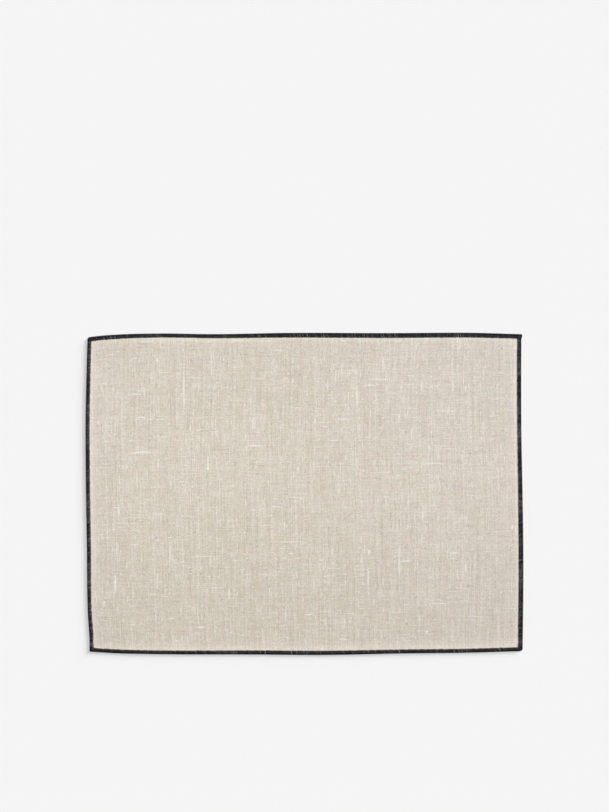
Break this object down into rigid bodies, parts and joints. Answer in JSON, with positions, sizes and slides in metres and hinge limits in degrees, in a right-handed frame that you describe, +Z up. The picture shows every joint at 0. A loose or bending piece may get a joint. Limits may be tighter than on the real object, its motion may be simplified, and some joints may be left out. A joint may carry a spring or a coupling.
{
  "type": "fabric placemat",
  "caption": "Flat rectangular placemat of natural slubbed linen, with a dark overlocked edge on all sides and slightly bowed, uneven outlines.",
  "frame": {"origin": "on the surface that the mat lies on, under the middle of its outline", "axes": "+X along the long side, +Y along the short side, away from someone who sits at it, +Z up"},
  "size_m": [0.4753, 0.3499, 0.0027],
  "materials": {
    "linen": "matt plain weave of slubbed natural linen, oatmeal with cream slubs",
    "edging_thread": "charcoal spun sewing thread, soft satin sheen along the strands"
  },
  "bodies": {
    "root": {"linen_panel": "linen", "edging_top": "edging_thread", "edging_right": "edging_thread", "edging_bottom": "edging_thread", "edging_left": "edging_thread"}
  },
  "joints": []
}
